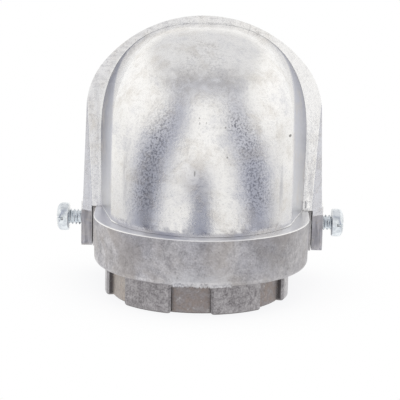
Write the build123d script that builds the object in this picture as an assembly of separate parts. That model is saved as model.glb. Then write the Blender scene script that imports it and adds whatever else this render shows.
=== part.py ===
from build123d import *
import math
import os

# Service entrance weatherhead for a 1-1/4 in threaded conduit mast.
# Millimetres, +Z up the mast, origin at the centre of the hub's mouth.
# The rounded back of the hood faces -Y and the conductor outlet faces +Y.

# Conduit and hub
conduit_od = 42.16
conduit_clearance = 0.10
conduit_depth = 14.5
stop_lip = 2.38
stop_depth = 2.5
throat_flare = 2.7
hub_wall = 6.37
hub_shift = -1.1
hub_height = 9.3
hub_edge_chamfer = 0.5
notch_count = 6
notch_angle = 25.0
notch_turn = -2.5
notch_depth = 1.8
tooth_bevel = 0.7

# Collar and ledge
collar_step = 4.4
collar_height = 14.1
collar_draft = 1.5
front_ledge = 3.8
collar_corner = 9.0
collar_bottom_round = 1.8
ledge_edge_round = 0.35

# Side pads, ears and screws
pad_rise = 1.35
pad_depth = 6.3
pad_back = 12.9
pad_front = 22.3
pad_trim = 0.3
ear_gap = 0.3
ear_wall = 3.3
ear_back = 12.6
ear_front = 22.6
ear_drop = 8.2
ear_corner = 2.5
pivot_y = 17.6
pivot_drop = 5.3
screw_radius = 2.415
screw_length = 12.7
screw_point = 0.6
tap_fit = 0.05
tap_depth = 12.0
ear_hole_gap = 0.3
head_radius = 4.25
head_rim = 2.6
head_crown = 1.3
crown_bend_height = 0.72
crown_bend_radius = 0.6
recess_depth = 1.9
slot_width = 1.25
cross_width = 1.5
cross_length = 4.6
left_standoff = 4.0
right_standoff = 2.7

# Dome of the hood
seat_gap = 0.05
band_plane = 9.5
ledge_side = 1.45
ledge_back = 3.55
dome_swell = 0.5
dome_shoulder = 45.4
dome_top = 79.95
nose_trim = 1.9
dome_side_power = 2.2
dome_arch_power = 2.46
dome_wall = 2.6
nose_points = 11
dome_levels = (0.0, 0.2, 0.38, 0.53, 0.66, 0.77, 0.86, 0.925, 0.97, 0.99, 0.998)
dome_lap = 1.0

# Band and visor of the hood
web_thickness = 2.5
band_rise = 2.35
arch_rise = 22.3
ear_step = 0.35
band_lean = 1.35
band_fillet = 23.0
visor_wall = 2.3
visor_fillet = 20.0
visor_reach = 46.0
visor_slope = 19.0
mouth_lead = 1.6
mouth_top = 62.0
bevel_run = 11.6
bevel_width = 3.25
bevel_depth = 3.0
wall_drop = 1.8

# Insulator plate and its sill
sill_edge = 0.5
sill_depth = 7.8
sill_round = 1.0
sill_cheek = 1.0
sill_height = 6.6
plate_lean = 20.0
plate_thickness = 2.4
plate_fit = 0.15
plate_side_room = 5.0
plate_headroom = 11.2
plate_corner = 17.0
plate_setback = 4.4
slot_floor = 2.6
wire_hole_radius = 6.5
wire_hole_spread = 12.5
wire_hole_low = 12.94
wire_hole_crest = 11.54

# Sizes and places that follow from the ones above, from the conduit outwards
bore_radius = conduit_od / 2 + conduit_clearance
stop_radius = bore_radius - stop_lip
throat_radius = stop_radius + throat_flare
hub_radius = bore_radius + hub_wall
collar_radius = hub_radius + collar_step
pad_face = collar_radius + pad_rise
pad_root = pad_face - pad_depth
ear_inside = pad_face + ear_gap
ear_face = ear_inside + ear_wall
dome_half_width = collar_radius - ledge_side
dome_shoulder_width = dome_half_width + dome_swell
dome_nose_radius = collar_radius - ledge_back
dome_kink_x = dome_nose_radius - nose_trim
band_foot_width = ear_face - ear_step
band_shoulder_width = band_foot_width - band_lean
plate_half = dome_half_width - plate_side_room
sill_half = plate_half + sill_cheek
sill_back = throat_radius + sill_edge
sill_front = sill_back + sill_depth
collar_front = sill_front + front_ledge
plate_foot_y = sill_back + plate_setback
mouth_foot = plate_foot_y + mouth_lead
ledge = hub_height + collar_height
hood_foot = ledge + seat_gap
wall_foot = ledge - wall_drop
pivot_z = ledge - pivot_drop
ear_bottom = pivot_z - ear_drop
pad_bottom = ear_bottom + pad_trim
band_top = dome_top + band_rise
band_shoulder = dome_shoulder + bevel_run
cutter = 200.0


def ring_points(radius, first, last, count):
    """Points on a circle about the origin, as angles from the -Y direction."""
    points = []
    for index in range(count):
        angle = math.radians(first + (last - first) * index / (count - 1))
        points.append((radius * math.sin(angle), -radius * math.cos(angle)))
    return points


def hub_plan():
    """Castellated plan of the hub: a round core with teeth between the notches."""
    tooth = 360.0 / notch_count - notch_angle
    floor_radius = hub_radius - notch_depth
    bevel = math.degrees(tooth_bevel / hub_radius)
    plan = Circle(floor_radius)
    for index in range(notch_count):
        middle = 360.0 / notch_count * (index + 0.5) + notch_turn
        outer = ring_points(hub_radius, middle - tooth / 2 + bevel, middle + tooth / 2 - bevel, nose_points)
        shoulder = hub_radius - tooth_bevel
        right = ring_points(shoulder, middle + tooth / 2, middle + tooth / 2, 2)[0]
        left = ring_points(shoulder, middle - tooth / 2, middle - tooth / 2, 2)[0]
        arc = ThreePointArc(outer[0], outer[nose_points // 2], outer[-1])
        sides = Polyline(outer[-1], right, (0, 0), left, outer[0])
        plan += make_face([arc, sides])
    return plan


def collar_plan(radius):
    """Plan of the collar: a half circle behind and straight sides to a rounded front."""
    plan = Circle(radius) + Pos(0, collar_front / 2) * Rectangle(2 * radius, collar_front)
    corners = plan.vertices().group_by(Axis.Y)[-1]
    return fillet(corners, collar_corner)


def side_box(x_inner, x_outer, y_back, y_front, z_low, z_high):
    """Box on the +X side between the given faces."""
    size = Box(x_outer - x_inner, y_front - y_back, z_high - z_low)
    return Pos((x_inner + x_outer) / 2, (y_back + y_front) / 2, (z_low + z_high) / 2) * size


def plate_plane():
    """Plane of the insulator's front face: X across, Y up the plate, Z forward and down."""
    lean = math.radians(plate_lean)
    foot = (0, plate_foot_y, ledge + slot_floor)
    normal = (0, math.cos(lean), -math.sin(lean))
    return Plane(origin=foot, x_dir=(-1, 0, 0), z_dir=normal)


def plate_length():
    """Length of the insulator that leaves the headroom under the visor's roof."""
    lean = math.radians(plate_lean)
    slope = math.tan(math.radians(visor_slope))
    roof = band_top - visor_wall - (plate_foot_y - band_plane) * slope
    rise = roof - plate_headroom - ledge - slot_floor
    return rise / (math.cos(lean) + math.sin(lean) * slope)


def make_base():
    """Hub, collar, ledge, side pads and insulator sill in one casting."""
    hub = extrude(Pos(hub_shift, 0) * hub_plan(), hub_height + 2 * collar_bottom_round)
    hub = chamfer(hub.faces().sort_by(Axis.Z)[0].edges(), hub_edge_chamfer)
    collar = extrude(Plane.XY.offset(hub_height) * collar_plan(collar_radius), collar_height, taper=-collar_draft)
    collar = fillet(collar.faces().sort_by(Axis.Z)[0].edges(), collar_bottom_round)
    collar = fillet(collar.faces().sort_by(Axis.Z)[-1].edges(), ledge_edge_round)
    body = hub + collar
    pad = side_box(pad_root, pad_face, pad_back, pad_front, pad_bottom, ledge)
    body += pad + mirror(pad, Plane.YZ)
    sill = Box(2 * sill_half, sill_front - sill_back, sill_height)
    sill = fillet(sill.edges().filter_by(Axis.Z) + sill.edges().group_by(Axis.Z)[-1], sill_round)
    body += Pos(0, (sill_front + sill_back) / 2, ledge + sill_height / 2) * sill

    bore = Pos(0, 0, conduit_depth / 2) * Cylinder(bore_radius, conduit_depth)
    stop = Pos(0, 0, conduit_depth + stop_depth / 2) * Cylinder(stop_radius, stop_depth)
    throat_height = ledge - conduit_depth - stop_depth
    throat = Cone(stop_radius, throat_radius, throat_height)
    throat = Pos(0, 0, ledge - throat_height / 2) * throat
    body -= bore + stop + throat

    tap = Rot(0, 90, 0) * Cylinder(screw_radius + tap_fit, tap_depth)
    tap = Pos(pad_face - tap_depth / 2, pivot_y, pivot_z) * tap
    body -= tap + mirror(tap, Plane.YZ)

    length = plate_length()
    groove = Box(2 * (plate_half + plate_fit), length, plate_thickness + 2 * plate_fit)
    groove = plate_plane() * Pos(0, length / 2 - plate_fit, -plate_thickness / 2) * groove
    body -= groove
    return body


def dome_half(z, shrink):
    """Half width of the dome at a height, drawn in by shrink."""
    top = dome_top - shrink
    if z <= dome_shoulder:
        rise = (z - ledge) / (dome_shoulder - ledge)
        return dome_half_width + (dome_shoulder_width - dome_half_width) * rise - shrink
    rise = (z - dome_shoulder) / (top - dome_shoulder)
    spread = max(0.0, 1.0 - rise ** dome_arch_power) ** (1.0 / dome_arch_power)
    return (dome_shoulder_width - shrink) * spread


def dome_reach(z, shrink):
    """Distance from the band plane back to the nose at a height, drawn in by shrink."""
    rise = (z - ledge) / (dome_top - shrink - ledge)
    spread = max(0.0, 1.0 - rise ** dome_side_power) ** (1.0 / dome_side_power)
    return (dome_nose_radius + band_plane - shrink) * spread


def dome_section(z, shrink, lap):
    """Level section of the dome: nose curve and flanks, carried past the band plane by lap."""
    across = dome_half(z, shrink) / dome_half_width
    along = dome_reach(z, shrink) / (dome_nose_radius + band_plane)
    kink = math.degrees(math.asin(dome_kink_x / dome_nose_radius))
    nose = []
    for x, y in ring_points(dome_nose_radius, -kink, kink, nose_points):
        nose.append((x * across, band_plane + (y - band_plane) * along, z))
    half = dome_half_width * across
    left = (-half, band_plane, z)
    right = (half, band_plane, z)
    back = Polyline(nose[-1], right, (half, band_plane + lap, z), (-half, band_plane + lap, z), left, nose[0])
    return Face(Wire([Spline(*nose)] + back.edges()))


def dome_solid(shrink, lap):
    """Solid dome drawn in by shrink and carried past the band plane by lap."""
    height = dome_top - shrink - hood_foot
    sections = []
    for level in dome_levels:
        sections.append(dome_section(hood_foot + height * level, shrink, lap))
    return loft(sections)


def band_face(foot_width, shoulder_width, top, corner, y):
    """Outline of the band: straight sides and a flat arch with rounded shoulders, at depth y."""
    spring = top - arch_rise
    arc = ThreePointArc((-shoulder_width, spring), (0, top), (shoulder_width, spring))
    sides = Polyline(
        (shoulder_width, spring), (foot_width, wall_foot), (-foot_width, wall_foot), (-shoulder_width, spring)
    )
    outline = make_face([arc, sides])
    shoulders = outline.vertices().group_by(Axis.Y)[-1]
    outline = fillet(shoulders, corner)
    return Plane(origin=(0, y, 0), x_dir=(1, 0, 0), z_dir=(0, -1, 0)) * outline


def forward(face, start, end):
    """Push an outline forward along the visor's slope between two depths."""
    slope = math.radians(visor_slope)
    direction = (0, math.cos(slope), -math.sin(slope))
    return extrude(face, (end - start) / math.cos(slope), dir=direction)


def ear():
    """Side ear of the hood on +X with its screw hole."""
    tab = side_box(ear_inside, ear_face, ear_back, ear_front, ear_bottom, wall_foot + ear_corner)
    tab = fillet(tab.edges().filter_by(Axis.X).group_by(Axis.Z)[0], ear_corner)
    hole = Rot(0, 90, 0) * Cylinder(screw_radius + ear_hole_gap, cutter)
    return tab - Pos(0, pivot_y, pivot_z) * hole


def below(plane):
    """Large block on the far side of a plane."""
    return plane * Pos(0, 0, cutter / 2) * Box(cutter, cutter, cutter)


def bevel_cutter():
    """Block that bevels the band's back corner on +X, growing from the shoulder to the ear."""
    corner_top = Vector(band_shoulder_width, band_plane, band_shoulder)
    corner_foot = Vector(band_foot_width - bevel_width, band_plane, hood_foot)
    side_foot = Vector(band_foot_width, band_plane + bevel_depth, hood_foot)
    edge = corner_foot - corner_top
    return below(Plane(origin=corner_top, x_dir=edge, z_dir=edge.cross(side_foot - corner_top)))


def make_visor():
    """Band and visor pushed forward from the band plane, hollow and open at the mouth."""
    face = band_face(band_foot_width, band_shoulder_width, band_top, band_fillet, band_plane)
    visor = forward(face, band_plane, visor_reach)
    face = band_face(ear_inside, ear_inside, band_top - visor_wall, visor_fillet, band_plane)
    hollow = forward(face, band_plane, visor_reach + cutter)
    web_front = band_plane + web_thickness
    hollow -= Pos(0, web_front - cutter / 2, 0) * Box(cutter, cutter, 2 * cutter)
    visor -= hollow
    visor -= below(Plane(origin=(0, 0, wall_foot), z_dir=(0, 0, -1)))
    visor -= Pos(0, 0, hood_foot - cutter / 2) * Box(2 * ear_inside, cutter, cutter)
    run = Vector(0, visor_reach - mouth_foot, mouth_top - hood_foot)
    visor -= below(Plane(origin=(0, mouth_foot, hood_foot), x_dir=(-1, 0, 0), z_dir=(0, run.Z, -run.Y)))
    bevel = bevel_cutter()
    return visor - bevel - mirror(bevel, Plane.YZ)


def make_hood():
    """Dome, band, visor and ears in one hollow casting."""
    body = make_visor() + dome_solid(0.0, dome_lap)
    body -= dome_solid(dome_wall, web_thickness + dome_lap)
    tab = ear()
    return body + tab + mirror(tab, Plane.YZ)


def make_insulator():
    """Moulded plate with three conductor holes, standing in the sill's groove."""
    length = plate_length()
    crest = length - wire_hole_crest
    outline = Pos(0, length / 2) * Rectangle(2 * plate_half, length)
    outline = fillet(outline.vertices().group_by(Axis.Y)[-1], plate_corner)
    centres = [(-wire_hole_spread, wire_hole_low), (wire_hole_spread, wire_hole_low), (0, crest)]
    for x, y in centres:
        outline -= Pos(x, y) * Circle(wire_hole_radius)
    return extrude(plate_plane() * outline, -plate_thickness)


def make_screw(standoff):
    """Machine screw on +X, its head standing off the ear by the given length."""
    seat = ear_face + standoff
    profile = Polyline(
        (seat - screw_length, 0), (seat - screw_length, screw_radius - screw_point),
        (seat - screw_length + screw_point, screw_radius), (seat, screw_radius), (seat, head_radius),
        (seat + head_rim, head_radius)
    )
    crown = ThreePointArc(
        (seat + head_rim, head_radius),
        (seat + head_rim + head_crown * crown_bend_height, head_radius * crown_bend_radius),
        (seat + head_rim + head_crown, 0)
    )
    axis = Line((seat + head_rim + head_crown, 0), (seat - screw_length, 0))
    body = revolve(make_face(profile.edges() + crown.edges() + axis.edges()), Axis.X)
    floor = seat + head_rim + head_crown - recess_depth
    slot = side_box(floor, floor + 2 * recess_depth, -head_radius, head_radius, -slot_width / 2, slot_width / 2)
    cross = Pos(floor + recess_depth, 0, 0) * Box(2 * recess_depth, cross_width, cross_length)
    body -= slot + cross
    return Pos(0, pivot_y, pivot_z) * body


os.makedirs("parts", exist_ok=True)
export_step(make_base(), "parts/base.step")
export_step(make_hood(), "parts/hood.step")
export_step(make_insulator(), "parts/insulator_plate.step")
export_step(make_screw(right_standoff), "parts/right_screw.step")
export_step(mirror(make_screw(left_standoff), Plane.YZ), "parts/left_screw.step")
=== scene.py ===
import math
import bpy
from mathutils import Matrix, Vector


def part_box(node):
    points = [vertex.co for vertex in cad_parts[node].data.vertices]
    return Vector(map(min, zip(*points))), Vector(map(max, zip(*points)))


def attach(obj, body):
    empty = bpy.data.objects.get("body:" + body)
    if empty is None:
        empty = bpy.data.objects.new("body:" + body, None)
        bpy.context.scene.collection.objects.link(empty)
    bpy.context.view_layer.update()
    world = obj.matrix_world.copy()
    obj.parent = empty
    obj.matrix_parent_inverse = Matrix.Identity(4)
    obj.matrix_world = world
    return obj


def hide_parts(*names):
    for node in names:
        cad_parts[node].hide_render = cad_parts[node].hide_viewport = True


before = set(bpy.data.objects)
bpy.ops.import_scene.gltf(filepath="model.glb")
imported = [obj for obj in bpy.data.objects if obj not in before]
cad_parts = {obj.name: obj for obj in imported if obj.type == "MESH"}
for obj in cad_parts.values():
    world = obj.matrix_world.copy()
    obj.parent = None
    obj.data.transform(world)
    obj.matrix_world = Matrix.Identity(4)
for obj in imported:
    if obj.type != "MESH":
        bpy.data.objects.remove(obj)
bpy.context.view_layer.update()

from types import SimpleNamespace

import bpy
from mathutils import Matrix, Vector

mm = 0.001
micron = 0.001 * mm
inch = 25.4
crease = math.radians(32)

# Sizes of the solids that the finishes and the added pieces follow, in millimetres,
# and the power that gives the dome's arch its shape.
hub_shift = -1.1
hood_foot = 23.45
band_plane = 9.5
dome_half_width = 31.0
dome_shoulder = 45.4
dome_rise = 34.55
dome_arch_power = 2.46
screw_length = 12.7

# Pits in the dome, in millimetres: place across, place up, radius, and height over width.
dome_pits = (
    (25.5, 50.4, 0.5, 1.0),
    (-0.9, 57.0, 0.26, 1.0),
    (-0.8, 55.6, 0.24, 1.8),
    (1.1, 55.7, 0.22, 1.8),
    (7.3, 46.3, 0.32, 1.0),
    (6.6, 54.5, 0.28, 1.2),
    (-1.9, 41.7, 0.3, 3.2),
)


class Value:
    """A number socket that Python operators turn into Math nodes."""

    def __init__(self, board, socket):
        self.board = board
        self.socket = socket

    def math(self, operation, *others):
        """A Math node on this value and others."""
        inputs = {0: self.socket}
        for index, other in enumerate(others):
            inputs[index + 1] = other
        return self.board.value("ShaderNodeMath", {"operation": operation}, inputs)

    def __add__(self, other):
        return self.math("ADD", other)

    def __radd__(self, other):
        return self.math("ADD", other)

    def __sub__(self, other):
        return self.math("SUBTRACT", other)

    def __rsub__(self, other):
        return self * -1.0 + other

    def __mul__(self, other):
        return self.math("MULTIPLY", other)

    def __rmul__(self, other):
        return self.math("MULTIPLY", other)

    def __truediv__(self, other):
        return self.math("DIVIDE", other)

    def __pow__(self, other):
        return self.math("POWER", other)

    def __abs__(self):
        return self.math("ABSOLUTE")

    def at_least(self, lowest):
        """The value, or the lowest where it is less."""
        return self.math("MAXIMUM", lowest)

    def at_most(self, highest):
        """The value, or the highest where it is more."""
        return self.math("MINIMUM", highest)

    def clamped(self):
        """The value held between 0 and 1."""
        return self.at_most(1.0).at_least(0.0)

    def rising(self, low, high):
        """0 below low, 1 above high, smooth between."""
        inputs = {"Value": self, "From Min": low, "From Max": high}
        return self.board.value("ShaderNodeMapRange", {"interpolation_type": "SMOOTHSTEP"}, inputs)

    def falling(self, low, high):
        """1 below low, 0 above high, smooth between."""
        return 1.0 - self.rising(low, high)

    def near(self, middle, reach):
        """1 at the middle, falling smoothly to 0 at the reach on either side."""
        return abs(self - middle).falling(0.0, reach)


class Board:
    """Node tree of one material or world, with one method that makes any node."""

    def __init__(self, owner):
        owner.use_nodes = True
        self.owner = owner
        self.tree = owner.node_tree
        self.tree.nodes.clear()

    def node(self, kind, settings=None, inputs=None):
        """A node with its settings, then a value or a link for each socket. Colours are opaque."""
        made = self.tree.nodes.new(kind)
        for key, value in (settings or {}).items():
            setattr(made, key, value)
        for key, value in (inputs or {}).items():
            socket = made.inputs[key]
            if isinstance(value, Value):
                value = value.socket
            if isinstance(value, bpy.types.NodeSocket):
                self.tree.links.new(value, socket)
            elif socket.type == "RGBA":
                socket.default_value = (*value, 1.0)
            else:
                socket.default_value = value
        return made

    def value(self, kind, settings=None, inputs=None, output=0):
        """A node whose output is a number."""
        return Value(self, self.node(kind, settings, inputs).outputs[output])

    def split(self, vector):
        """The three numbers of a vector."""
        parts = self.node("ShaderNodeSeparateXYZ", {}, {"Vector": vector})
        return [Value(self, socket) for socket in parts.outputs]

    def place(self, stretch=None):
        """The piece's own coordinates in metres, stretched for a drawn-out pattern."""
        point = self.node("ShaderNodeTexCoord").outputs["Object"]
        if stretch is None:
            return point
        return self.node("ShaderNodeMapping", {}, {"Vector": point, "Scale": stretch}).outputs[0]

    def noise(self, spot, size, detail=3.0, roughness=0.55, twist=0.0):
        """Cloudy pattern from 0 to 1 with patches of about the given size in millimetres."""
        inputs = {"Vector": spot, "Scale": 1.0 / (size * mm), "Detail": detail}
        inputs["Roughness"] = roughness
        inputs["Distortion"] = twist
        return self.value("ShaderNodeTexNoise", {}, inputs)

    def tint(self, share, first, second):
        """Colour between two others, by share."""
        settings = {"data_type": "RGBA", "clamp_factor": True}
        return self.node("ShaderNodeMix", settings, {0: share, 6: first, 7: second}).outputs[2]

    def layers(self, colour, *coats):
        """Colour under a row of coats, each given by its share and its own colour."""
        for share, coat in coats:
            colour = self.tint(share, colour, coat)
        return colour

    def edges(self, radius):
        """1 on outer and inner corners sharper than the radius, 0 on open faces."""
        worn = self.node("ShaderNodeBevel", {"samples": 6}, {"Radius": radius * mm}).outputs[0]
        true = self.node("ShaderNodeNewGeometry").outputs["Normal"]
        settings = {"operation": "DOT_PRODUCT"}
        meet = self.value("ShaderNodeVectorMath", settings, {0: worn, 1: true}, "Value")
        return (1.0 - meet).rising(0.01, 0.2)

    def hollows(self, reach):
        """1 deep in corners and grooves, 0 in the open."""
        inputs = {"Distance": reach * mm}
        return 1.0 - self.value("ShaderNodeAmbientOcclusion", {"samples": 8}, inputs, "AO")

    def relief(self, height, depth, under=None):
        """Normal of a surface raised by the height pattern, depth in millimetres."""
        inputs = {"Strength": 1.0, "Distance": depth * mm, "Height": height}
        if under is not None:
            inputs["Normal"] = under
        return self.node("ShaderNodeBump", {}, inputs).outputs[0]

    def skin(self, colour, roughness, normal, metallic):
        """The finished material of a piece."""
        inputs = {"Base Color": colour, "Metallic": metallic}
        inputs["Roughness"] = roughness
        inputs["Normal"] = normal
        surface = self.node("ShaderNodeBsdfPrincipled", {}, inputs)
        self.node("ShaderNodeOutputMaterial", {}, {"Surface": surface.outputs[0]})
        return self.owner

    def glow(self, colour, gone):
        """The finished material of a stage piece: shines at strength 1, clear where gone is 1."""
        shine = self.node("ShaderNodeEmission", {}, {"Color": colour, "Strength": 1.0}).outputs[0]
        clear = self.node("ShaderNodeBsdfTransparent").outputs[0]
        both = self.node("ShaderNodeMixShader", {}, {0: gone, 1: shine, 2: clear})
        self.node("ShaderNodeOutputMaterial", {}, {"Surface": both.outputs[0]})
        return self.owner


def hood_zones(x, y, z):
    """Masks of the hood's zones, 1 inside and 0 outside, by place in millimetres."""
    rise = (z - dome_shoulder).at_least(0.0) / dome_rise
    spread = (1.0 - rise ** dome_arch_power).at_least(0.001) ** (1.0 / dome_arch_power)
    across = abs(x) / spread
    narrow = z.rising(50.0, 76.0) * 4.0
    bevel_line = (z - hood_foot) * 0.0566 + 33.3
    zone = SimpleNamespace()

    # The dome, its side away from the outlet, and masks for the painted shade along its sides and
    # in its corner with the band.
    dome = y.falling(band_plane - 0.2, band_plane - 0.06)
    dome = dome * across.falling(dome_half_width, dome_half_width + 0.12)
    zone.front = y.falling(-6.0, 0.0)
    zone.flank = (across - narrow).rising(26.3, 27.1) * dome
    zone.deep = (across - narrow * 0.5).rising(26.5, dome_half_width) * dome
    zone.groove = y.rising(band_plane - 0.9, band_plane - 0.3) * dome

    # Two leaning belts of coarse speckle, and a low strip beside each.
    zone.belt = (abs(x) + (z - 26.0) ** 2.0 * 0.0068).near(16.8, 6.5) * y.falling(-8.0, -2.0)
    zone.strip = z.falling(26.0, 46.0) * abs(x).rising(17.0, 21.0) * dome

    # The band's face, its bevelled corners and the ears below.
    zone.face = y.near(band_plane, 0.1)
    slope = y.rising(band_plane + 0.02, band_plane + 0.2)
    slope = slope * y.falling(band_plane + 3.4, band_plane + 3.9)
    zone.bevel = slope * z.falling(50.0, 60.0) * abs(x).rising(31.5, 32.5)
    zone.ear = z.falling(21.3, 21.8)

    # Painted highlight lines along the band's outer and inner edges and along the dome's foot at
    # the sides, where the foot also flares out a little.
    ridge = (abs(x) - bevel_line).near(0.0, 0.4) * zone.face * z.falling(54.0, 58.0)
    lip = across.near(dome_half_width + 0.3, 0.5) * zone.face * z.falling(70.0, 76.0)
    sides = across.rising(23.5, 26.5) * dome
    foot = z.falling(hood_foot + 0.25, hood_foot + 0.5) * sides
    foot = foot * z.rising(hood_foot - 0.45, hood_foot - 0.05)
    zone.rubbed = (lip + ridge + foot).clamped()
    zone.flare = (1.0 - (z - hood_foot) / 0.6).clamped() ** 2.0 * sides
    return zone


def tumbled_casting():
    """Hood: bright tumbled aluminium, stained and pitted, rougher along the dome's sides, with
    painted shade there, by the band and on the ears, and painted highlights on the band's face, its
    edges and the dome's foot.
    """
    board = Board(bpy.data.materials.new("tumbled_casting"))
    spot = board.place()
    x, y, z = [part / mm for part in board.split(spot)]
    zone = hood_zones(x, y, z)
    cloud = board.noise(spot, 11.0, 3.0, 0.6, 0.4)
    wave = board.noise(spot, 6.0, 1.0)
    patch = board.noise(spot, 4.0, 4.0, 0.65, 0.6)
    rust = board.noise(spot, 1.1, 2.0, 0.6, 0.5)
    grain = board.noise(spot, 0.62, 1.0, 0.5)
    fleck = board.noise(spot, 0.58, 2.0, 0.5)
    streak = board.noise(board.place((1.0, 1.0, 0.1)), 1.3, 3.0)
    scuff = board.noise(board.place((0.25, 0.25, 1.4)), 1.1, 3.0, 0.6, 0.5)
    edge = board.edges(0.3)
    hollow_dirt_and_shade = board.hollows(1.2)

    # Bare metal, then painted shade along the dome's sides and in its corner with the band, a grey
    # low strip, the bevel's tone and the ears' darker tone.
    # Painted light: the band's face is lighter towards the right.
    band_painted_light = board.tint(x.rising(-25.0, 25.0), (0.9, 0.9, 0.91), (1.0, 0.995, 0.985))
    bare = board.tint(zone.face, (0.955, 0.95, 0.94), band_painted_light)
    # Painted shade on the dome's sides, deepest by the band and lighter towards the right.
    flank_painted_shade = board.tint(zone.deep, (0.54, 0.56, 0.63), (0.26, 0.275, 0.345))
    flank_painted_shade = board.tint(x.rising(0.0, 20.0) * 0.35, flank_painted_shade, (0.75, 0.76, 0.82))
    # The ears' own darker cast tone, with painted shade in it.
    ear_tone_and_shade = board.tint(streak.rising(0.35, 0.65), (0.5, 0.495, 0.535), (0.2, 0.195, 0.225))
    colour = board.layers(
        bare,
        (zone.flank, flank_painted_shade),
        (zone.strip * 0.72, (0.72, 0.72, 0.73)),
        # Painted shade in the dome's corner with the band.
        (zone.groove * 0.7, (0.14, 0.145, 0.17)),
        (zone.bevel, (0.97, 0.97, 0.975)),
        (zone.ear, ear_tone_and_shade),
    )

    # Specks, stains and scuffs over them, dirt and painted shade in hollows and at the dome's foot,
    # and painted highlight lines.
    rough = (zone.face * 0.3 + zone.bevel * 0.5 + zone.ear).clamped()
    speck = grain.rising(0.5, 0.66) * (0.4 + patch.rising(0.4, 0.65) * 0.6)
    pepper = fleck.rising(0.46, 0.62) * zone.belt
    pepper = pepper * z.rising(26.0, 34.0) * (1.0 - z.rising(52.0, 62.0) * 0.75)
    # Dark line at the dome's foot in front: painted shade in the crease with the ledge, with patchy
    # dirt just above it.
    foot_dirt_and_shade = z.falling(24.0, 24.8) * 0.7 + z.near(25.0, 1.3) * patch.rising(0.45, 0.6)
    foot_dirt_and_shade = foot_dirt_and_shade.clamped() * y.falling(-14.0, -4.0)
    plume = x.near(-0.9, 7.4) * z.near(39.0, 9.4) * zone.front
    plume = plume * (0.55 + patch.rising(0.3, 0.6) * 0.45)
    brown = cloud.rising(0.42, 0.66) * patch.rising(0.35, 0.65)
    smoke = cloud.falling(0.34, 0.5) * patch.rising(0.38, 0.66)
    haze = z.near(67.0, 6.0) * abs(x).falling(7.0, 17.0) * patch.rising(0.25, 0.6)
    left_trail = x.near(-22.2, 0.9) * z.near(37.0, 12.0)
    right_trail = x.near(23.2, 0.8) * z.near(35.0, 11.0)
    trail = (left_trail + right_trail) * streak.rising(0.3, 0.6)
    colour = board.layers(
        colour,
        (speck * (0.2 + rough * 0.12 + zone.belt * 0.2), (0.4, 0.405, 0.44)),
        (pepper * 0.66, (0.2, 0.2, 0.225)),
        (foot_dirt_and_shade * 0.6, (0.32, 0.32, 0.36)),
        (plume * 0.85, (0.42, 0.43, 0.5)),
        (brown * 0.5, (0.66, 0.62, 0.57)),
        (smoke * 0.4, (0.62, 0.63, 0.69)),
        (haze * 0.5, (0.52, 0.5, 0.48)),
        (trail * 0.75, (0.4, 0.41, 0.46)),
        (streak.rising(0.5, 0.75) * 0.2, (0.66, 0.66, 0.67)),
        (scuff.rising(0.55, 0.75) * (0.2 + rough * 0.2), (0.58, 0.56, 0.54)),
        (rust.rising(0.6, 0.7) * rough * 0.5, (0.5, 0.44, 0.38)),
        # Dirt and painted shade in hollows.
        (hollow_dirt_and_shade.rising(0.5, 0.95) * 0.6, (0.25, 0.25, 0.27)),
        (edge * 0.6, (0.93, 0.93, 0.92)),
        # Painted highlight lines along the band's edges and the dome's foot.
        (zone.rubbed * 0.85, (0.98, 0.98, 0.97)),
    )

    # Single pits, a pecked spot, drawn marks on the band's face, a painted highlight on the band's
    # upper right, and a bright patch beside the flash nub.
    for middle, level, radius, tall in dome_pits:
        away = (x - middle) ** 2.0 + ((z - level) / tall) ** 2.0
        pit = away.falling(radius * radius * 0.3, radius * radius) * zone.front
        colour = board.tint(pit * min(0.75, radius * 1.7), colour, (0.1, 0.095, 0.09))
    pecks = fleck.rising(0.5, 0.6) * x.near(8.9, 2.6) * z.near(55.2, 2.6) * zone.front
    arch = z.rising(56.0, 68.0)
    drawn = streak.rising(0.38, 0.68) * (1.0 - arch) + scuff.rising(0.42, 0.68) * arch
    # Painted highlight on the upper right of the band's face.
    band_painted_highlight = zone.face * x.rising(14.0, 25.0) * z.rising(42.0, 58.0)
    flash = y.falling(band_plane - 0.2, band_plane - 0.1) * x.rising(31.3, 31.6) * z.near(25.1, 3.0)
    colour = board.layers(
        colour,
        (pecks * 0.8, (0.2, 0.2, 0.225)),
        (drawn * zone.face * 0.4, (0.6, 0.605, 0.63)),
        ((band_painted_highlight + flash) * 0.8, (1.0, 0.998, 0.99)),
    )

    roughness = 0.19 + cloud * 0.06 + speck * 0.08 + zone.flank * 0.1
    roughness = roughness + zone.ear * 0.2 + zone.face * 0.04 - edge * 0.05
    height = grain * (0.3 + patch.rising(0.35, 0.65) * 0.7 + rough) + streak * 0.3
    normal = board.relief(wave, 0.04)
    normal = board.relief(zone.flare, 0.4, normal)
    normal = board.relief(height, 0.032, normal)
    return board.skin(colour, roughness, normal, 1.0 - zone.bevel * 0.5)


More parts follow.
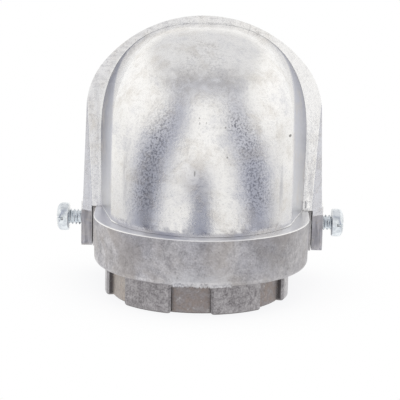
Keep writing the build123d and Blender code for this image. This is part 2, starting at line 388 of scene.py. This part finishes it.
def rough_casting():
    """Base: dull as-cast aluminium, mottled on the collar, darker and brownish on the hub."""
    board = Board(bpy.data.materials.new("rough_casting"))
    spot = board.place()
    x, y, z = [part / mm for part in board.split(spot)]
    across, along, upward = board.split(board.node("ShaderNodeTexCoord").outputs["Normal"])
    warmth = board.noise(spot, 13.0, 3.0, 0.6, 0.5)
    cloud = board.noise(spot, 7.0, 4.0, 0.62, 0.6)
    patch = board.noise(spot, 2.6, 4.0, 0.65, 0.6)
    fleck = board.noise(spot, 1.3, 2.0, 0.7, 0.8)
    grain = board.noise(spot, 0.55, 2.0, 0.6)
    fine = board.noise(spot, 0.25, 2.0)
    smear = board.noise(board.place((1.0, 1.0, 0.3)), 2.2, 3.0, 0.6)
    edge = board.edges(0.4)
    hollow_dirt_and_shade = board.hollows(2.5)

    # The ledge under the hood with its rim, then the hub with its notches and their walls.
    shelf = upward.rising(0.9, 0.99) * z.rising(23.0, 23.3)
    # Painted highlight along the ledge's rounded outer edge.
    rim = upward.rising(0.1, 0.3) * upward.falling(0.9, 0.97) * z.rising(22.9, 23.1)
    hub = z.falling(8.9, 9.5)
    hub_x = x - hub_shift
    radius = (hub_x ** 2.0 + y * y) ** 0.5
    outward = abs(hub_x * across + y * along) / radius
    # Painted shade on the hub's sideways-facing notch walls.
    wall = hub * outward.falling(0.5, 0.8) * abs(upward).falling(0.3, 0.6)
    notch = hub * radius.falling(26.0, 26.4)
    left_notch = notch * x.falling(-23.0, -17.0)
    # Painted highlight on the teeth at the hub's two ends, which face sideways.
    end_teeth_highlight = (1.0 - notch) * abs(hub_x).rising(24.8, 27.2)

    # The lighter skin around the broken gate, with a ragged border.
    ragged = (cloud - 0.5) * 9.0 + (grain - 0.5) * 2.0
    gate = (x + ragged).rising(-10.0, -6.0) * (x + ragged).falling(8.0, 12.0)
    gate = gate * (z + ragged).falling(11.5, 16.0) * (1.0 - hub) * y.falling(-28.0, -25.0)

    mottle = cloud.rising(0.3, 0.7) * 0.38 + patch.rising(0.3, 0.7) * 0.3
    mottle = (mottle + grain.rising(0.32, 0.68) * 0.32).clamped()
    collar_colour = board.layers(
        board.tint(mottle, (0.75, 0.735, 0.75), (0.285, 0.275, 0.29)),
        (warmth.rising(0.45, 0.65) * 0.5, (0.46, 0.42, 0.39)),
        (warmth.falling(0.3, 0.48) * 0.45, (0.46, 0.46, 0.52)),
        # Painted shade: the collar darker towards the right.
        (x.rising(2.0, 26.0) * 0.35, (0.34, 0.33, 0.33)),
        (gate * 0.6, (0.64, 0.64, 0.66)),
    )
    worn = (patch.rising(0.3, 0.7) * 0.5 + grain.rising(0.34, 0.66) * 0.5).clamped()
    hub_colour = board.layers(
        board.tint(worn, (0.53, 0.51, 0.515), (0.23, 0.215, 0.222)),
        (smear.rising(0.5, 0.75) * 0.5, (0.52, 0.5, 0.5)),
        (notch * 0.66, (0.3, 0.27, 0.265)),
        (notch * patch.rising(0.42, 0.62) * 0.4, (0.4, 0.32, 0.27)),
        (left_notch * (0.2 + grain.rising(0.35, 0.65) * 0.5), (0.62, 0.57, 0.51)),
        # Painted highlight on the end teeth.
        (end_teeth_highlight * 0.45, (0.82, 0.815, 0.82)),
        # Painted shade on the notch walls.
        (wall * 0.85, (0.09, 0.082, 0.085)),
    )
    # The ledge's bluish tone, with painted light making it lighter towards the right.
    shelf_painted_light = board.tint(x.rising(-20.0, 25.0), (0.81, 0.82, 0.89), (0.97, 0.975, 1.0))
    colour = board.layers(
        collar_colour,
        (hub, hub_colour),
        (fleck.rising(0.6, 0.72) * 0.35, (0.16, 0.15, 0.15)),
        (fleck.falling(0.28, 0.36) * 0.4, (0.7, 0.69, 0.68)),
        (shelf * 0.85, shelf_painted_light),
        # Dirt and painted shade in hollows, lighter on the ledge.
        (hollow_dirt_and_shade.rising(0.35, 0.95) * (0.7 - shelf * 0.4), (0.12, 0.11, 0.105)),
        (edge * 0.4, (0.75, 0.75, 0.75)),
        # Painted highlight on the ledge's rim.
        (rim * 0.95, (0.98, 0.98, 0.97)),
    )
    roughness = 0.36 + mottle * 0.12 + hub * 0.14 - shelf * 0.1
    roughness = roughness - edge * 0.06 - gate * 0.06 - rim * 0.12
    height = grain + fine * 0.5 + fleck * 0.4
    return board.skin(colour, roughness, board.relief(height, 0.06), 1.0)


def zinc_plate():
    """Screws: bluish zinc plating, with dirt and painted shade in the thread roots and painted
    shade in the recess of the head.
    """
    board = Board(bpy.data.materials.new("zinc_plate"))
    spot = board.place()
    cloud = board.noise(spot, 1.6, 3.0)
    fine = board.noise(spot, 0.25, 2.0)
    edge = board.edges(0.2)
    hollow_dirt_and_shade = board.hollows(1.2)
    x = board.split(spot)[0] / mm
    head = abs(x).rising(40.9, 41.4)
    colour = board.layers(
        board.tint(cloud.rising(0.35, 0.7), (0.86, 0.9, 0.93), (0.6, 0.64, 0.68)),
        # Dirt and painted shade in the thread roots, and painted shade in the recess of the head.
        (hollow_dirt_and_shade.rising(0.4, 0.95) * 0.35, (0.3, 0.29, 0.27)),
        (hollow_dirt_and_shade.rising(0.3, 0.8) * head * 0.8, (0.08, 0.08, 0.09)),
        (edge * 0.5, (0.95, 0.96, 0.97)),
    )
    roughness = 0.15 + cloud * 0.12
    return board.skin(colour, roughness, board.relief(cloud + fine * 0.4, 0.03), 1.0)


def black_moulding():
    """Insulator: matte black moulded plastic with a fine grain and dusty corners."""
    board = Board(bpy.data.materials.new("black_moulding"))
    spot = board.place()
    cloud = board.noise(spot, 6.0, 3.0)
    grain = board.noise(spot, 0.4, 2.0)
    edge = board.edges(0.3)
    colour = board.tint(cloud.rising(0.35, 0.7), (0.022, 0.022, 0.024), (0.038, 0.037, 0.036))
    colour = board.tint(edge * 0.5, colour, (0.09, 0.09, 0.09))
    roughness = 0.42 + cloud * 0.2 + grain * 0.1
    return board.skin(colour, roughness, board.relief(grain, 0.02), 0.0)


def dress(piece, finish):
    """Give a piece one finish all over."""
    piece.data.materials.clear()
    piece.data.materials.append(finish)


def pick(piece=None):
    """Leave edit mode, deselect everything and make one piece the active one."""
    if bpy.context.object and bpy.context.object.mode != "OBJECT":
        bpy.ops.object.mode_set(mode="OBJECT")
    bpy.ops.object.select_all(action="DESELECT")
    if piece:
        piece.select_set(True)
        bpy.context.view_layer.objects.active = piece


def edit(piece):
    """Go into edit mode on one piece with everything selected."""
    pick(piece)
    bpy.ops.object.mode_set(mode="EDIT")
    bpy.ops.mesh.select_mode(type="VERT")
    bpy.ops.mesh.select_all(action="SELECT")


def settle():
    """Put the active piece's place, turn and size into its mesh."""
    bpy.ops.object.transform_apply(location=True, rotation=True, scale=True)


def draw_line(name, points):
    """Line of edges, drawn by extruding one vertex from point to point, in millimetres."""
    pick()
    bpy.ops.mesh.primitive_plane_add(size=mm, location=Vector(points[0]) * mm)
    piece = bpy.context.object
    piece.name = name
    settle()
    edit(piece)
    bpy.ops.mesh.merge(type="CENTER")
    for start, end in zip(points, points[1:]):
        step = (Vector(end) - Vector(start)) * mm
        bpy.ops.mesh.extrude_region_move(TRANSFORM_OT_translate={"value": step})
    pick(piece)
    return piece


def draw_loop(name, points):
    """Closed line of edges through points in millimetres."""
    piece = draw_line(name, points + points[:1])
    edit(piece)
    bpy.ops.mesh.remove_doubles(threshold=micron)
    pick(piece)
    return piece


def apply(piece, kind, **settings):
    """Add a modifier to a piece and apply it."""
    pick(piece)
    modifier = piece.modifiers.new(kind.lower(), kind)
    for key, value in settings.items():
        setattr(modifier, key, value)
    bpy.ops.object.modifier_apply(modifier=modifier.name)


def turn_round(piece, axis, steps, angle=2 * math.pi, turns=1, rise=0.0):
    """Sweep a line round an axis, climbing by rise millimetres each turn."""
    apply(piece, "SCREW", axis=axis, angle=angle, iterations=turns, screw_offset=rise * mm,
          steps=steps, render_steps=steps, use_merge_vertices=True, merge_threshold=micron)


def seal(piece):
    """Join doubled points, close open ends and point the faces outwards."""
    edit(piece)
    bpy.ops.mesh.remove_doubles(threshold=2 * micron)
    bpy.ops.mesh.select_all(action="DESELECT")
    bpy.ops.mesh.select_non_manifold(extend=False)
    bpy.ops.mesh.fill_holes(sides=0)
    bpy.ops.mesh.select_all(action="SELECT")
    bpy.ops.mesh.normals_make_consistent(inside=False)
    pick(piece)


def slice_off(piece, at, facing):
    """Cut a piece with a plane, take away what lies in front of it and close the cut."""
    edit(piece)
    settings = {"use_fill": True, "clear_outer": True, "threshold": micron / 10}
    bpy.ops.mesh.bisect(plane_co=Vector(at) * mm, plane_no=facing, **settings)
    pick(piece)


def combine(piece, other, operation):
    """Join another solid to a piece or cut it away."""
    apply(piece, "BOOLEAN", object=other, operation=operation, solver="EXACT")
    pick(other)
    bpy.ops.object.delete()


def recess_tool(length, width, floor, rim):
    """Wedge that cuts one arm of the driver recess, narrower at its floor."""
    floor_taper = (1, 0.86, 0.8)
    pick()
    bpy.ops.mesh.primitive_cube_add(size=mm, location=((floor + rim) * mm / 2, 0, 0))
    tool = bpy.context.object
    tool.scale = (rim - floor, length, width)
    settle()
    edit(tool)
    bpy.ops.mesh.select_mode(type="FACE")
    bpy.ops.mesh.select_all(action="DESELECT")
    bpy.ops.object.mode_set(mode="OBJECT")
    for face in tool.data.polygons:
        face.select = face.normal.x < -0.5
    bpy.ops.object.mode_set(mode="EDIT")
    bpy.ops.transform.resize(value=floor_taper)
    pick(tool)
    return tool


def machine_screw(name):
    """Pan head screw along X with its seat at the origin, threaded up to the head."""
    pitch = inch / 24
    root = 1.86
    crest = 2.4
    head_lap = 0.4
    start = -screw_length - pitch
    tooth = [(0.0, root), (0.07, root), (0.43, crest), (0.57, crest), (0.93, root), (1.0, root)]
    piece = draw_line(name, [(start + share * pitch, 0, radius) for share, radius in tooth])
    turn_round(piece, "X", 40, turns=math.ceil(screw_length / pitch) + 2, rise=pitch)
    slice_off(piece, (-screw_length, 0, 0), (-1, 0, 0))
    slice_off(piece, (head_lap, 0, 0), (1, 0, 0))
    seal(piece)
    profile = [
        (0, 0), (0, 3.85), (0.12, 4.1), (0.35, 4.25), (2.3, 4.25), (2.75, 4.1),
        (3.15, 3.75), (3.45, 3.2), (3.68, 2.4), (3.82, 1.4), (3.88, 0),
    ]
    head = draw_line("head", [(height, 0, radius) for height, radius in profile])
    turn_round(head, "X", 72)
    seal(head)
    combine(piece, head, "UNION")
    combine(piece, recess_tool(length=10.0, width=1.1, floor=1.7, rim=5.0), "DIFFERENCE")
    combine(piece, recess_tool(length=1.5, width=4.6, floor=1.45, rim=5.0), "DIFFERENCE")
    return piece


def set_screw(piece, node, heading, spin):
    """Put a screw where its solid is, turned to its side and spun about its own axis."""
    low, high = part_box(node)
    seat = low[0] + screw_length * mm if heading > 0 else high[0] - screw_length * mm
    piece.rotation_euler = (math.radians(spin), 0, 0 if heading > 0 else math.pi)
    piece.location = (seat, (low[1] + high[1]) / 2, (low[2] + high[2]) / 2)
    pick(piece)
    settle()
    bpy.ops.object.shade_smooth_by_angle(angle=crease)
    dress(piece, zinc)
    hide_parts(node)
    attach(piece, node)


def hub_thread():
    """Pipe thread inside the hub: one ridge wound up the bore."""
    pitch = inch / 11.5
    wall = 21.28
    crest = 20.05
    first = 1.4
    ridge = [
        (wall, 0, first), (crest, 0, first + 0.9),
        (crest, 0, first + 1.15), (wall, 0, first + 2.05),
    ]
    piece = draw_loop("hub_thread", ridge)
    turn_round(piece, "Z", 72, turns=5, rise=pitch)
    seal(piece)
    bpy.ops.object.shade_smooth_by_angle(angle=crease)
    dress(piece, dull)
    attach(piece, "base")


def gate_scar():
    """Ragged stub along the collar's lower edge where the gate was broken off."""
    start = math.radians(-104.5)
    sweep = math.radians(32.0)
    section = [
        (31.2, 0, 10.7), (31.75, 0, 10.35), (31.6, 0, 9.5),
        (30.9, 0, 9.12), (29.8, 0, 9.2), (29.8, 0, 10.7),
    ]
    piece = draw_loop("gate_scar", section)
    piece.rotation_euler = (0, 0, start)
    settle()
    turn_round(piece, "Z", 64, angle=sweep)
    seal(piece)
    edit(piece)
    bpy.ops.transform.vertex_random(offset=0.3 * mm, uniform=0.7, normal=0.6, seed=5)
    pick(piece)
    bpy.ops.object.shade_smooth()
    dress(piece, dull)
    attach(piece, "base")


def flash_nub():
    """Lump of casting flash left at the foot of the band on the right."""
    middle = Vector((32.05, 9.7, 25.1))
    size = (1.7, 1.5, 2.6)
    pick()
    bpy.ops.mesh.primitive_cube_add(size=mm, location=middle * mm)
    piece = bpy.context.object
    piece.name = "flash_nub"
    piece.scale = size
    settle()
    edit(piece)
    bpy.ops.mesh.bevel(offset=0.3 * mm, segments=2, affect="EDGES")
    bpy.ops.mesh.select_all(action="SELECT")
    bpy.ops.mesh.subdivide(number_cuts=2)
    bpy.ops.transform.vertex_random(offset=0.14 * mm, uniform=0.6, normal=0.6, seed=9)
    apply(piece, "SUBSURF", levels=1, render_levels=1)
    seal(piece)
    bpy.ops.object.shade_smooth()
    dress(piece, tumbled)
    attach(piece, "hood")


def aim_camera():
    """Camera at the photograph's place: a long lens a little above the collar."""
    azimuth = math.radians(0.75)
    elevation = math.radians(12.518)
    roll = math.radians(1.183)
    target = Vector((-0.575, 0, 28.121)) * mm
    distance = 0.65
    focal_pixels = 2174.6
    picture_pixels = 400.0
    level = math.cos(elevation)
    away = Vector((math.sin(azimuth) * level, -math.cos(azimuth) * level, math.sin(elevation)))
    right = Vector((math.cos(azimuth), math.sin(azimuth), 0))
    up = away.cross(right)
    across = right * math.cos(roll) + up * math.sin(roll)
    upward = up * math.cos(roll) - right * math.sin(roll)
    data = bpy.data.cameras.new("photo_camera")
    data.sensor_width = 36.0
    data.lens = focal_pixels / picture_pixels * data.sensor_width
    data.clip_end = 20.0
    camera = bpy.data.objects.new("photo_camera", data)
    turn = Matrix((across, upward, away)).transposed().to_4x4()
    camera.matrix_world = Matrix.Translation(target + away * distance) @ turn
    bpy.context.scene.collection.objects.link(camera)
    bpy.context.scene.camera = camera


def light_tent():
    """White tent around the object: front, side and back panels with dark seams between them."""
    board = Board(bpy.data.worlds.new("light_tent"))
    bpy.context.scene.world = board.owner
    degrees = 180.0 / math.pi
    x, y, z = board.split(board.node("ShaderNodeTexCoord").outputs["Generated"])
    turn = x.math("ARCTAN2", y * -1.0) * degrees
    lift = z.math("ARCSINE") * degrees
    arc = z.math("ARCTAN2", y * -1.0) * degrees
    side = abs(turn)

    # Panels, by angle from the camera's side and angle up.
    walls = 0.89 + lift.rising(-2.0, 22.0) * 0.1 + side.rising(60.0, 90.0) * 0.04
    wings = side.rising(98.0, 110.0) * 0.1 - side.rising(70.0, 95.0) * 0.1
    wings = wings * lift.falling(-8.0, 14.0)
    front = turn.near(5.0, 9.0) * lift.near(-13.0, 10.0) * 0.36
    level = walls + wings + front

    # The seams lean towards the front as they rise, the left one more than the right.
    low = lift.at_most(24.0).at_least(-14.0)
    lean = turn.falling(-25.0, -5.0) * lift.rising(14.0, 40.0) * 13.0
    seam = (side - (61.0 - low * 0.9 - lean)).near(0.0, 32.0) * lift.falling(44.0, 66.0)
    depth = 0.72 - turn.rising(-30.0, 30.0) * 0.13 - lift.rising(-8.0, 36.0) * 0.2
    level = level * (1.0 - seam * depth)

    # The ceiling is a little darker, with a still darker band across it.
    ceiling = (lift + side.rising(110.0, 150.0) * 14.0).rising(42.0, 58.0)
    level = level * (1.0 - ceiling) + ceiling * (0.78 - arc.near(61.0, 15.0) * 0.17)
    shade = board.tint(level.rising(0.3, 0.9), (0.88, 0.92, 1.13), (1.0, 0.99, 0.975))
    scaled = {0: shade, "Scale": level}
    shade = board.node("ShaderNodeVectorMath", {"operation": "SCALE"}, scaled).outputs[0]

    # The camera sees plain white, and so do mirror rays that leave low behind the object.
    path = board.node("ShaderNodeLightPath")
    camera = Value(board, path.outputs["Is Camera Ray"])
    glossy = Value(board, path.outputs["Is Glossy Ray"])
    clear = Value(board, path.outputs["Is Transmission Ray"])
    backdrop = side.rising(105.0, 135.0) * lift.falling(10.0, 36.0) * lift.rising(-8.0, 14.0)
    seen = (camera + (glossy + clear) * backdrop).clamped()
    colour = board.tint(seen, shade, (1.0, 1.0, 1.0))
    back = board.node("ShaderNodeBackground", {}, {"Color": colour, "Strength": 1.0})
    board.node("ShaderNodeOutputWorld", {}, {"Surface": back.outputs[0]})


def white_floor():
    """Small white table under the hub, with a soft shadow around the hub, clear from below."""
    radius = 75.0 * mm
    below = (0, 0, -0.1 * mm)
    pick()
    bpy.ops.mesh.primitive_circle_add(vertices=96, radius=radius, fill_type="NGON", location=below)
    floor = bpy.context.object
    floor.name = "floor"
    settle()
    board = Board(bpy.data.materials.new("white_table"))
    shadow = board.hollows(30.0).rising(0.02, 1.0)
    colour = board.tint(shadow, (1.0, 1.0, 1.0), (0.89, 0.89, 0.905))
    underside = board.node("ShaderNodeNewGeometry").outputs["Backfacing"]
    dress(floor, board.glow(colour, underside))


def lens_card():
    """Dark card around the lens, out of the picture, that the front of the dome mirrors."""
    middle = Vector((0.0, -130.0, 35.0)) * mm
    upright = (math.pi / 2, 0, 0)
    pick()
    bpy.ops.mesh.primitive_plane_add(size=mm, location=middle, rotation=upright)
    card = bpy.context.object
    card.name = "lens_card"
    card.scale = (100.0, 150.0, 1.0)
    settle()
    board = Board(bpy.data.materials.new("dark_card"))
    x, _, z = [part / mm for part in board.split(board.place())]
    solid = (abs(x) + z * 0.25).falling(17.0, 37.0) * z.falling(28.0, 56.0)
    dress(card, board.glow((0.29, 0.305, 0.38), 1.0 - solid))
    card.visible_camera = False
    card.visible_shadow = False
    card.visible_diffuse = False


tumbled = tumbled_casting()
dull = rough_casting()
zinc = zinc_plate()
black = black_moulding()
dress(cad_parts["hood"], tumbled)
dress(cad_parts["base"], dull)
dress(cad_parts["insulator_plate"], black)

right_screw = machine_screw("right_pan_screw")
pick(right_screw)
bpy.ops.object.duplicate()
left_screw = bpy.context.object
left_screw.name = "left_pan_screw"
set_screw(right_screw, "right_screw", heading=1, spin=-1.0)
set_screw(left_screw, "left_screw", heading=-1, spin=1.5)
hub_thread()
gate_scar()
flash_nub()

bpy.context.scene.view_settings.view_transform = "Standard"
white_floor()
lens_card()
light_tent()
aim_camera()
